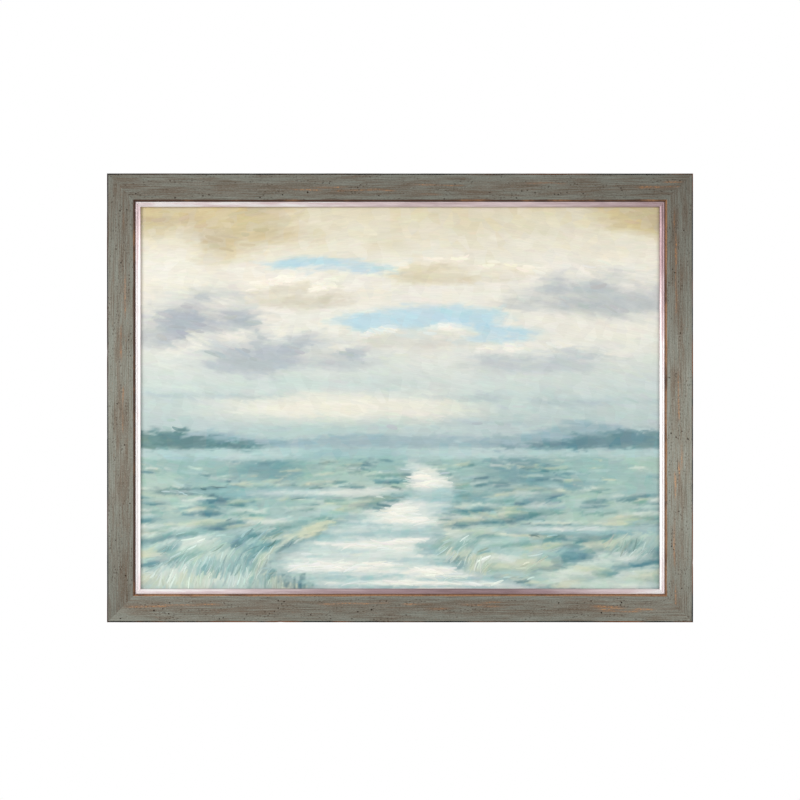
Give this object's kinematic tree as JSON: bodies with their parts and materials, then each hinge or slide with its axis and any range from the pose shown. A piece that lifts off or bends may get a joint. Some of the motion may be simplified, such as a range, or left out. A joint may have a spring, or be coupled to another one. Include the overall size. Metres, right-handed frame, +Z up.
{
  "type": "framed painting",
  "caption": "Landscape-format picture on stretched canvas in a weathered grey wooden frame with a narrow silver-leaf slip, hung by a hooked bar on its back.",
  "frame": {"origin": "on the wall's plane, at the middle of the hanging bar's leg, on the face that rests against the wall", "axes": "+Z up, +X to the viewer's right along the longer side, -Y out of the picture towards the viewer, +Y into the wall"},
  "size_m": [1.1938, 0.043, 0.9144],
  "materials": {
    "weathered_paint": "grey-green paint, wire-brushed and rubbed through to brown, with wormholes",
    "silver_leaf": "bright silver leaf on wood",
    "painted_canvas": "oil paint in soft strokes on primed canvas, bare cloth at the back",
    "bare_pine": "planed, unfinished pine",
    "plated_steel": "thin zinc-plated steel",
    "mill_aluminium": "extruded, with fine lines along it",
    "grey_rubber": "dark grey, matt"
  },
  "bodies": {
    "root": {"rail_top": "weathered_paint", "rail_bottom": "weathered_paint", "rail_left": "weathered_paint", "rail_right": "weathered_paint", "slip_top": "silver_leaf", "slip_bottom": "silver_leaf", "slip_left": "silver_leaf", "slip_right": "silver_leaf", "canvas": "painted_canvas", "stretcher_top": "bare_pine", "stretcher_bottom": "bare_pine", "stretcher_left": "bare_pine", "stretcher_right": "bare_pine", "hanging_bar": "mill_aluminium", "hanging_screw_1": "plated_steel", "hanging_screw_2": "plated_steel", "hanging_screw_3": "plated_steel", "hanging_screw_4": "plated_steel", "bumper_left": "grey_rubber", "bumper_right": "grey_rubber", "clip_1": "plated_steel", "clip_2": "plated_steel", "clip_3": "plated_steel", "clip_4": "plated_steel", "clip_5": "plated_steel", "clip_6": "plated_steel", "clip_screw_1": "plated_steel", "clip_screw_2": "plated_steel", "clip_screw_3": "plated_steel", "clip_screw_4": "plated_steel", "clip_screw_5": "plated_steel", "clip_screw_6": "plated_steel"}
  },
  "joints": []
}
